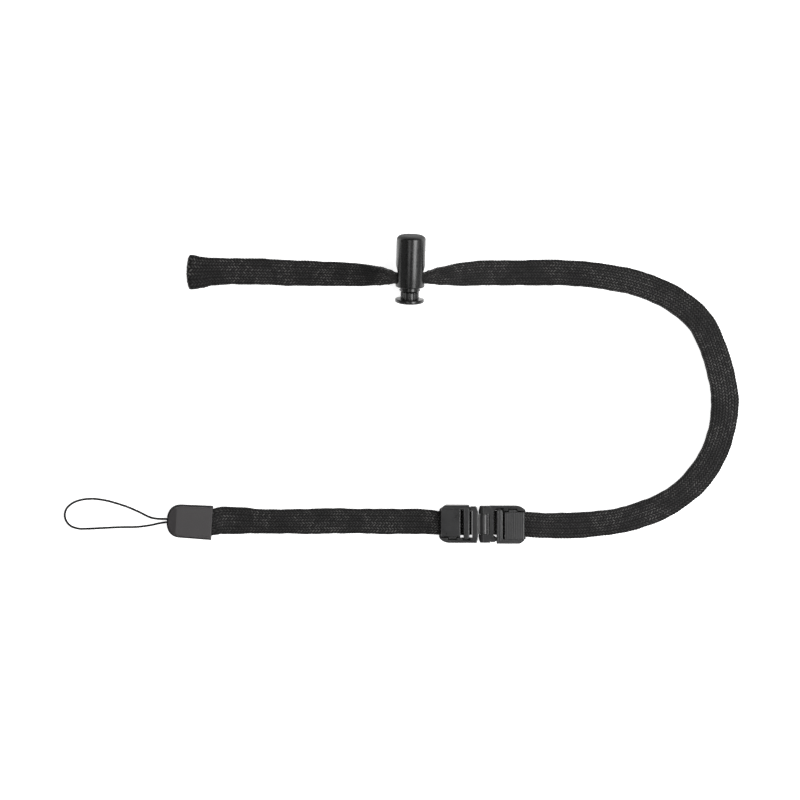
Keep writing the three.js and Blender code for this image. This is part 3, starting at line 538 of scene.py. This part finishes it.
def stretch(stations, first=0, last=None, layer=0, side=None):
    """Samples of one strand: rows of place, side direction, width and thickness."""
    dense = 60  # samples between two stations
    table = np.array(stations, float)
    last = len(table) - 1 if last is None else last
    index = np.linspace(first, last, int((last - first) * dense) + 2)
    at = spline(table[:, :3], index)
    tangent = unit(np.gradient(at, axis=0))
    i = np.clip(np.floor(index).astype(int), 0, len(table) - 2)
    f = index - i
    f = (f * f * (3 - 2 * f))[:, None]
    width, thick, roll = (table[i, 3:] * (1 - f) + table[i + 1, 3:] * f).T
    across = np.tile(side, (len(at), 1)) if side is not None else unit(np.cross((0, 0, 1), tangent))
    normal = unit(np.cross(tangent, across))
    roll = np.radians(roll)[:, None]
    cos, sin = np.cos(roll), np.sin(roll)
    across, normal = across * cos + normal * sin, normal * cos - across * sin
    at = at + normal * (layer * (thick + LAYER_GAP) / 2)[:, None]
    return np.column_stack([at, across, width, thick])


class Strand:
    """A strand's samples, evenly spaced, with its frame at each one."""

    def __init__(self, parts, step):
        rows = np.vstack(parts)
        gone = np.r_[0, np.cumsum(np.linalg.norm(np.diff(rows[:, :3], axis=0), axis=1))]
        self.length = gone[-1]
        self.count = int(round(self.length / step))
        self.along = np.linspace(0, self.length, self.count + 1)
        even = np.column_stack([np.interp(self.along, gone, rows[:, k]) for k in range(rows.shape[1])])
        self.at, self.width, self.thick = even[:, :3], even[:, 6], even[:, 7]
        self.tangent = unit(np.gradient(self.at, axis=0))
        self.normal = unit(np.cross(self.tangent, even[:, 3:6]))
        self.side = np.cross(self.normal, self.tangent)
        turned = np.gradient(self.tangent, axis=0) / (self.length / self.count)
        self.curl = np.convolve((turned * self.side).sum(1), np.ones(21) / 21, "same")  # per mm, towards side


def flat_section(points):
    """A soft-cornered flat section, one unit wide and thick, its points evenly spaced round it."""
    angle = np.linspace(0, 2 * math.pi, 2401)
    c, s = np.cos(angle), np.sin(angle)
    x = np.sign(c) * np.abs(c) ** 0.42 / 2
    y = np.sign(s) * np.abs(s) ** 0.55 / 2
    gone = np.r_[0, np.cumsum(np.hypot(np.diff(x * BRAID_WIDTH), np.diff(y * BRAID_THICK)))]
    even = np.linspace(0, gone[-1], points + 1)[:-1]
    return np.interp(even, gone, x), np.interp(even, gone, y)


def round_section(points):
    angle = np.linspace(0, 2 * math.pi, points + 1)[:-1]
    return np.cos(angle) / 2, np.sin(angle) / 2


def waves(along, lengths, size, seed):
    """A smooth uneven line from a few waves of these lengths, in millimetres."""
    draw = np.random.default_rng(seed)
    return sum(size * math.sqrt(n / max(lengths)) * np.sin(2 * math.pi * along / n + draw.uniform(0, 6.3))
               for n in lengths) / math.sqrt(len(lengths))


def yarn_relief(u, v, slant):
    """Height of a braid's surface, from 0 between yarns to 1 on their crowns."""
    column = np.floor(v)
    p = v - column
    odd = np.mod(column, 2)
    phase = u + (1 - 2 * odd) * (p - 0.5) * slant + 0.5 * odd
    q = phase - np.floor(phase)
    return (1 - np.abs(2 * q - 1) ** 2.2) * (1 - 0.8 * np.abs(2 * p - 1) ** 3)


def soften(strand, x, y, seed):
    """How a soft flat strap strays from its even shape: uneven edges, ripples, pleats where it is pinched
    and puckers on the inside of a bend. Returns places across and through it, in millimetres."""
    a = strand.along[:, None]
    w, t = strand.width[:, None], strand.thick[:, None]
    free = np.clip((w - 7.5) / 2.2, 0, 1) * np.clip((t - 1.15) / 0.3, 0, 1)
    left = waves(a, (31, 17, 9.5, 5.3), 0.16, seed)
    right = waves(a, (27, 15, 8.7, 4.9), 0.16, seed + 1)
    share = 2 * x[None, :]
    strays = np.where(share > 0, left * share, right * -share) * np.sign(share)
    across = x[None, :] * (w + 1.6 * YARN_DEPTH) + strays * free
    ripple = waves(a, (24, 13, 7), 0.05, seed + 2) * np.cos(math.pi * share)
    ripple = ripple + waves(a + 9 * share, (19, 11), 0.04, seed + 3)
    tucked = np.clip((9.6 - w) / 3, 0, 1) * np.clip((w - 4.2) / 3, 0, 1)
    pleat = 0.36 * tucked * np.cos(2.6 * math.pi * (share + 0.12 * waves(a, (21, 12), 1.0, seed + 4)))
    curl = strand.curl[:, None] * np.sign(share)
    pucker = np.clip(curl * 70, 0, 1) * np.abs(share) ** 3 * 0.16 * np.sin(2 * math.pi * a / 5.2)
    through = y[None, :] * t + (ripple + pucker) * free + pleat
    return across, through


def bake_map(rings, columns, length, girth):
    """Corners of each quad on the bake map: the tube is cut into rows that fill the square."""
    rows = max(1, round(math.sqrt(length / girth)))
    per_row = math.ceil(rings / rows)
    margin = 0.004
    j, k = np.meshgrid(np.arange(rings), np.arange(columns), indexing="ij")
    row, place = j // per_row, j % per_row
    corners = []
    for dj, dk in ((0, 0), (0, 1), (1, 1), (1, 0)):
        x = margin + (place + dj) / per_row * (1 - 2 * margin)
        y = (row + margin + (k + dk) / columns * (1 - 2 * margin)) / rows
        corners.append(np.stack([x, y], -1))
    return np.stack(corners, 2)


def strand_mesh(name, strand, section, columns, pitch, slant, depth, seed, flip=False, soft=True, bulge=0.0):
    """A braided tube along a strand, with each yarn's float raised in the mesh. The middle of its first end
    stands bulge proud of its edges."""
    x, y = section
    around = len(x)
    per = around // columns
    if soft:
        across, through = soften(strand, x, y, seed)
    else:
        across, through = x[None, :] * strand.width[:, None], y[None, :] * strand.thick[:, None]
    ring = np.stack([across, through], -1)
    ahead, behind = np.roll(ring, -1, axis=1), np.roll(ring, 1, axis=1)
    out = unit((ahead - behind)[..., ::-1] * np.array([1, -1]))
    draw = np.random.default_rng(seed + 11)
    u = strand.along / pitch
    drift = np.stack([0.16 * np.sin(u * 0.13 + draw.uniform(0, 6.3))
                      + 0.1 * np.sin(u * 0.41 + draw.uniform(0, 6.3)) for _ in range(columns)], 1)
    k = np.arange(around)
    v = k / per
    column = (k // per).astype(int)
    if flip:
        u, v = -u, (columns - v) % columns
        column = np.minimum(np.floor(v).astype(int), columns - 1)
    relief = yarn_relief(u[:, None] + drift[:, column], np.tile(v, (len(u), 1)), slant)
    ring = ring - out * (depth * (1 - relief))[..., None]
    points = strand.at[:, None] + strand.side[:, None] * ring[..., :1]
    points = points + strand.normal[:, None] * ring[..., 1:]
    reach = np.exp(-((strand.along / 5) ** 2))[:, None]
    points[..., 0] -= bulge * reach * (0.35 - (2 * x[None, :]) ** 2)
    rings = len(u) - 1
    j, kk = np.meshgrid(np.arange(rings), np.arange(around), indexing="ij")
    nxt = (kk + 1) % around
    quads = np.stack([j * around + kk, j * around + nxt, (j + 1) * around + nxt, (j + 1) * around + kk], -1)
    faces = quads.reshape(-1, 4).tolist()
    faces.append(list(range(around - 1, -1, -1)))
    faces.append(list(range(rings * around, (rings + 1) * around)))
    mesh = bpy.data.meshes.new(name)
    mesh.from_pydata((points.reshape(-1, 3) * MM).tolist(), [], faces)
    own = (kk // per).astype(int)
    if flip:
        own = columns - 1 - own
    strand_uv = []
    for dj, dk in ((0, 0), (0, 1), (1, 1), (1, 0)):
        vv = (kk + dk) / per
        vv = columns - vv if flip else vv
        vv = np.clip(vv, own + 1e-4, own + 1 - 1e-4)
        strand_uv.append(np.stack([u[j + dj] + drift[j, own], vv], -1))
    strand_uv = np.stack(strand_uv, 2).reshape(-1, 2)
    caps = np.tile([[u[0], 0.5]], (2 * around, 1))
    girth = 2 * (strand.width.mean() + strand.thick.mean())
    baked = bake_map(rings, around, strand.length, girth).reshape(-1, 2)
    for uv_name, corners in (("OFBake", baked), ("strand", strand_uv)):
        layer = mesh.uv_layers.new(name=uv_name)
        tail = caps * 0 if uv_name == "OFBake" else caps
        layer.data.foreach_set("uv", np.vstack([corners, tail]).astype(np.float32).ravel())
    smooth = np.ones(len(faces), bool)
    smooth[-2:] = False
    mesh.polygons.foreach_set("use_smooth", smooth)
    mesh.update()
    return mesh


def new_piece(name, mesh, material):
    mesh.materials.append(material)
    piece = bpy.data.objects.new(name, mesh)
    scene.collection.objects.link(piece)
    return piece


def declare_strap(nodes):
    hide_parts(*nodes)


def make_straps(paint):
    fine = {"section": flat_section(YARN_COLUMNS * 4), "columns": YARN_COLUMNS, "pitch": YARN_PITCH,
            "slant": YARN_SLANT, "depth": YARN_DEPTH}
    y_side = (0, 1, 0)
    for word, layer, seed in (("upper", 1, 20), ("lower", -1, 20)):
        left = Strand([stretch(fold_route(layer), side=y_side),
                       stretch(NECK_ROUTE, 0.02, LOCK_INDEX, layer)], 0.26)
        mesh = strand_mesh(f"neck_{word}_left", left, seed=seed, flip=layer < 0, bulge=0.9, **fine)
        piece = new_piece(f"neck_{word}_left", mesh, paint["braid"])
        declare_strap(["neck_strap_loop_end", f"neck_strap_pinch_{word}"])
        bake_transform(piece)
        right = Strand([stretch(NECK_ROUTE, LOCK_INDEX, None, layer)], 0.26 if layer > 0 else 0.34)
        mesh = strand_mesh(f"neck_{word}_right", right, seed=seed + 40, **fine)
        piece = new_piece(f"neck_{word}_right", mesh, paint["braid"])
        declare_strap([f"neck_strap_{word}_run", f"neck_strap_pinch_{word}"])
        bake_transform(piece)
    tail = Strand([stretch(TAIL_ROUTE)], 0.26)
    mesh = strand_mesh("tail_webbing", tail, seed=90, **fine)
    piece = new_piece("tail_webbing", mesh, paint["braid"])
    declare_strap(["tail_strap"])
    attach(piece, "tail")


def make_string(paint):
    rows = [station(*p, STRING_DIAMETER, STRING_DIAMETER) for p in STRING_ROUTE]
    strand = Strand([stretch(rows)], 0.16)
    section = round_section(STRING_COLUMNS * 3)
    mesh = strand_mesh("thin_string", strand, section, STRING_COLUMNS, STRING_PITCH, slant=0.9, depth=0.05,
                       seed=130, soft=False)
    piece = new_piece("thin_string", mesh, paint["string"])
    declare_strap(["string_loop"])
    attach(piece, "tail")


# ---- solid pieces ----------------------------------------------------------------------------------
def body_of_node(node):
    bodies = frame["record"]["behaviour"]["bodies"]
    return next(body for body, members in bodies.items() if node in members)


def make_refined(node, name, material):
    """A copy of a part's mesh with its flat faces joined and its edges rounded."""
    sharp = 38
    mesh = frame["nodes"][node].data.copy()
    mesh.name = name
    mesh.materials.clear()
    bm = bmesh.new()
    bm.from_mesh(mesh)
    bmesh.ops.remove_doubles(bm, verts=bm.verts, dist=0.004 * MM)
    bmesh.ops.dissolve_limit(bm, angle_limit=math.radians(1.0), verts=bm.verts, edges=bm.edges)
    bm.to_mesh(mesh)
    bm.free()
    piece = new_piece(name, mesh, material)
    rounding = piece.modifiers.new("rounding", "BEVEL")
    rounding.width = 0.12 * MM
    rounding.segments = 2
    rounding.limit_method = "ANGLE"
    rounding.angle_limit = math.radians(sharp)
    even = piece.modifiers.new("even", "WEIGHTED_NORMAL")
    even.keep_sharp = True
    mesh.shade_smooth()
    mesh.set_sharp_from_angle(angle=math.radians(sharp + 20))
    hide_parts(node)
    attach(piece, body_of_node(node))


def lathe(profile, segments):
    """A closed turned solid from points (radius, height) that start and end on the axis."""
    bm = bmesh.new()
    rings = []
    for r, a in profile:
        if r < 1e-9:
            rings.append([bm.verts.new((0, 0, a * MM))])
            continue
        turn = [2 * math.pi * k / segments for k in range(segments)]
        rings.append([bm.verts.new((r * math.cos(t) * MM, r * math.sin(t) * MM, a * MM)) for t in turn])
    for low, high in zip(rings, rings[1:]):
        for k in range(segments):
            n = (k + 1) % segments
            corners = [low[k % len(low)], low[n % len(low)], high[n % len(high)], high[k % len(high)]]
            bm.faces.new(list(dict.fromkeys(corners)))
    return bm


def add_prism(bm, ends):
    """A closed solid between two like outlines."""
    low, high = ([bm.verts.new(p) for p in outline] for outline in ends)
    count = len(low)
    for k in range(count):
        n = (k + 1) % count
        bm.faces.new([low[k], low[n], high[n], high[k]])
    bm.faces.new(low[::-1])
    bm.faces.new(high)


def arc(centre, radius, start, stop, steps=6):
    """Points (radius, height) round a centre, angles in degrees."""
    angles = np.radians(np.linspace(start, stop, steps + 1))
    return [(centre[0] + radius * math.cos(t), centre[1] + radius * math.sin(t)) for t in angles]


def mesh_of(bm, name):
    bmesh.ops.recalc_face_normals(bm, faces=bm.faces)
    mesh = bpy.data.meshes.new(name)
    bm.to_mesh(mesh)
    bm.free()
    return mesh


def strap_slot(at, length=HOLE_LENGTH):
    """The rounded slot that the strands pass through, across the lock, with its middle at this height."""
    corner, reach = 1.6, 9.0
    outline = []
    for cx, cz, first in ((1, 1, 0), (-1, 1, 90), (-1, -1, 180), (1, -1, 270)):
        centre = (cx * (HOLE_HEIGHT / 2 - corner), cz * (length / 2 - corner))
        outline += arc(centre, corner, first, first + 90, 8)
    bm = bmesh.new()
    add_prism(bm, [[(x * MM, y * MM, (at + z) * MM) for y, z in outline] for x in (-reach, reach)])
    return mesh_of(bm, "strap_slot")


def side_scoop(side):
    """What the barrel loses on one side, where the strands leave it."""
    radius, waist, hole = BARREL_RADIUS, WAIST_HALF, HOLE_AT
    outline = [(radius + 1, hole - 3.1), (radius - 0.12, hole - 3.1), (radius - 0.2, hole - 2.9),
               (waist + 0.3, hole - 2.4), (waist + 0.08, hole - 1.95), (waist, hole - 1.5),
               (waist, hole + 1.1), (waist + 0.05, hole + 1.6), (waist + 0.2, hole + 2.3),
               (waist + 0.36, hole + 3.1), (radius - 0.2, hole + 4.1), (radius - 0.05, hole + 4.9),
               (radius + 0.1, hole + 5.9), (radius + 1, hole + 5.9)]
    reach = 7
    bm = bmesh.new()
    add_prism(bm, [[(side * x * MM, y * MM, z * MM) for x, z in outline] for y in (-reach, reach)])
    return mesh_of(bm, "side_scoop")


def cut(mesh, cutter):
    """The mesh less the cutter, as a new mesh."""
    body = bpy.data.objects.new("cut_body", mesh)
    tool = bpy.data.objects.new("cut_tool", cutter)
    scene.collection.objects.link(body)
    scene.collection.objects.link(tool)
    step = body.modifiers.new("slot", "BOOLEAN")
    step.operation = "DIFFERENCE"
    step.solver = "EXACT"
    step.object = tool
    bpy.context.view_layer.update()
    made = bpy.data.meshes.new_from_object(body.evaluated_get(bpy.context.evaluated_depsgraph_get()))
    bpy.data.objects.remove(body)
    bpy.data.objects.remove(tool)
    return made


def make_lock_piece(name, mesh, node, paint):
    mesh.transform(LOCK_FRAME)
    mesh.name = name
    mesh.shade_smooth()
    mesh.set_sharp_from_angle(angle=math.radians(32))
    piece = new_piece(name, mesh, paint["gloss"])
    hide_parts(node)
    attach(piece, body_of_node(node))


def make_barrel(paint):
    end, radius, bore = BARREL_TOP_AT, BARREL_RADIUS, BORE_RADIUS
    outer = [(0, end), (radius - 3.0, end - 0.08)]
    outer += arc((radius - 1.9, end - 2.1), 1.9, 78, 0, 10)
    outer += arc((radius - 0.4, 0.4), 0.4, 0, -90, 5)
    inner = [(bore + 0.3, 0), (bore, 0.3), (bore, end - 2.2), (0, end - 1.6)]
    mesh = mesh_of(lathe(outer + inner, 128), "barrel")
    for cutter in (side_scoop(1), side_scoop(-1), strap_slot(HOLE_AT)):
        mesh = cut(mesh, cutter)
    make_lock_piece("lock_shell", mesh, "lock_barrel", paint)


def make_plunger(paint):
    face, stem, guide, top, rim = HEAD_FACE_AT, STEM_RADIUS, GUIDE_RADIUS, GUIDE_TOP_AT, HEAD_OUTER_AT
    head = [(0, rim - 0.7), (HEAD_RADIUS * 0.25, rim - 0.68), (HEAD_RADIUS * 0.5, rim - 0.58),
            (HEAD_RADIUS * 0.75, rim - 0.37), (HEAD_RADIUS * 0.9, rim - 0.12)]
    head += arc((HEAD_RADIUS - 0.45, rim + 0.45), 0.45, -70, 0, 5)
    head += arc((HEAD_RADIUS - 0.3, face - 0.3), 0.3, 0, 90, 4)
    body = [(stem, face), (stem, -2.2), (guide - 0.12, -1.56), (guide, -1.4), (guide, top - 0.4),
            (guide - 0.4, top), (2.0, top), (2.0, top + 2.2), (0, top + 2.6)]
    longer = 1.4  # towards the head, so that the hole clears the strands when the plunger is pressed
    slot = strap_slot(HOLE_AT - REST_OFFSET - longer / 2, HOLE_LENGTH + longer)
    mesh = cut(mesh_of(lathe(head + body, 96), "plunger"), slot)
    make_lock_piece("lock_button", mesh, "lock_plunger", paint)


def make_plunger_ribs(paint):
    """Grip ribs down the plunger's stem."""
    count, low, high, stem = 12, HEAD_FACE_AT - 0.12, -1.95, STEM_RADIUS
    shape = [(stem - 0.4, -0.34), (stem + 0.18, -0.3), (stem + 0.32, 0.0), (stem + 0.18, 0.3),
             (stem - 0.4, 0.34)]
    bm = bmesh.new()
    for i in range(count):
        turn = Matrix.Rotation(2 * math.pi * i / count, 4, "Z")
        add_prism(bm, [[turn @ Vector((x * MM, y * MM, z * MM)) for x, y in shape] for z in (low, high)])
    mesh = mesh_of(bm, "lock_button_ribs")
    mesh.transform(LOCK_FRAME)
    mesh.shade_smooth()
    mesh.set_sharp_from_angle(angle=math.radians(50))
    piece = new_piece("lock_button_ribs", mesh, paint["gloss"])
    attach(piece, "plunger")


def wire_mesh(name, at, radius, around, closed):
    """A round wire through the points, in millimetres, where they never run straight up."""
    count = len(at)
    tangent = unit(np.roll(at, -1, 0) - np.roll(at, 1, 0)) if closed else unit(np.gradient(at, axis=0))
    side = unit(np.cross((0.0, 0.0, 1.0), tangent))
    up = np.cross(tangent, side)
    turn = np.linspace(0, 2 * math.pi, around + 1)[:-1]
    cos, sin = np.cos(turn)[:, None], np.sin(turn)[:, None]
    ring = at[:, None] + radius * (side[:, None] * cos + up[:, None] * sin)
    faces = [
        (j * around + k, j * around + (k + 1) % around, ((j + 1) % count) * around + (k + 1) % around,
         ((j + 1) % count) * around + k)
        for j in range(count if closed else count - 1) for k in range(around)
    ]
    if not closed:
        faces += [tuple(range(around))[::-1], tuple((count - 1) * around + k for k in range(around))]
    mesh = bpy.data.meshes.new(name)
    mesh.from_pydata((ring.reshape(-1, 3) * MM).tolist(), [], faces)
    return mesh


def make_spring(paint):
    """Round wire coiled between the plunger's shoulder and the barrel's end, at rest."""
    turns, radius, wire = 6, 2.9, 0.35
    low, high = GUIDE_TOP_AT + LAYER_GAP + wire, BARREL_TOP_AT - 2.2 - LAYER_GAP - wire
    t = np.linspace(0, 1, turns * 40 + 1)
    turn = 2 * math.pi * turns * t
    at = np.stack([radius * np.cos(turn), radius * np.sin(turn), low + (high - low) * t], 1)
    mesh = wire_mesh("lock_coil_spring", at, wire, 10, False)
    mesh.transform(LOCK_FRAME)
    mesh.shade_smooth()
    piece = new_piece("lock_coil_spring", mesh, paint["steel"])
    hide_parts("lock_spring")
    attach(piece, "lock")
    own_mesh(piece)


def make_knot(paint):
    """The string's knot inside the tab, a thin tube along a closed three-lobed knot."""
    count, around, radius = 120, 10, 0.36
    t = np.linspace(0, 2 * math.pi, count + 1)[:-1]
    at = np.stack([(np.sin(t) + 2 * np.sin(2 * t)) * 0.32, (np.cos(t) - 2 * np.cos(2 * t)) * 0.4,
                   -np.sin(3 * t) * 0.34], 1)
    place = Matrix.Translation(TAB_PLACE * MM) @ Matrix.Rotation(TAB_TURN, 4, "Z")
    place = place @ Matrix.Translation(Vector((-4.95, 0, TAB_PART_AT)) * MM)
    mesh = wire_mesh("string_end_knot", at, radius, around, True)
    mesh.transform(place)
    layer = mesh.uv_layers.new(name="strand")
    corners = [((j + dj) * 0.15, (k + dk) * 0.8) for j in range(count) for k in range(around)
               for dj, dk in ((0, 0), (0, 1), (1, 1), (1, 0))]
    layer.data.foreach_set("uv", np.array(corners, np.float32).ravel())
    mesh.shade_smooth()
    piece = new_piece("string_end_knot", mesh, paint["string"])
    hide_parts("string_knot")
    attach(piece, "tail")


def make_lid_serrations(paint):
    """Small teeth along the outer end of the socket's lid, where it bites the strap."""
    low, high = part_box("socket_lid")
    x = high.x - 0.0001
    count, pitch = 13, 0.00074
    bm = bmesh.new()
    for i in range(count):
        y = PIN_PLACE.y * MM + (i - (count - 1) / 2) * pitch
        tooth = bmesh.ops.create_cube(bm, size=1.0)["verts"]
        bmesh.ops.scale(bm, vec=(0.0005, 0.00042, 0.0006), verts=tooth)
        bmesh.ops.translate(bm, vec=(x, y, high.z - 0.0006), verts=tooth)
    bmesh.ops.bevel(bm, geom=bm.edges[:], offset=0.0001, segments=2, affect="EDGES")
    piece = new_piece("socket_lid_teeth", mesh_of(bm, "socket_lid_teeth"), paint["buckle"])
    piece.data.shade_smooth()
    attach(piece, "socket_lid_body")


# ---- everything in its order -----------------------------------------------------------------------
make_camera()
materials = make_materials()
make_straps(materials)
make_string(materials)
make_lights()
make_floor()
make_barrel(materials)
make_plunger(materials)
make_plunger_ribs(materials)
make_spring(materials)
make_knot(materials)
for node, name, paint, slot in (
    ("socket_frame", "buckle_socket", "buckle", "buckle"),
    ("socket_lid", "buckle_socket_lid", "ribbed", "buckle"),
    ("clip_frame", "buckle_clip", "buckle", "buckle"),
    ("clip_lid", "buckle_clip_lid", "buckle", "buckle"),
    ("tab_upper_shell", "tab_top", "tab", "tab"),
    ("tab_lower_shell", "tab_bottom", "tab", "tab"),
):
    make_refined(node, name, materials[paint])
make_lid_serrations(materials)
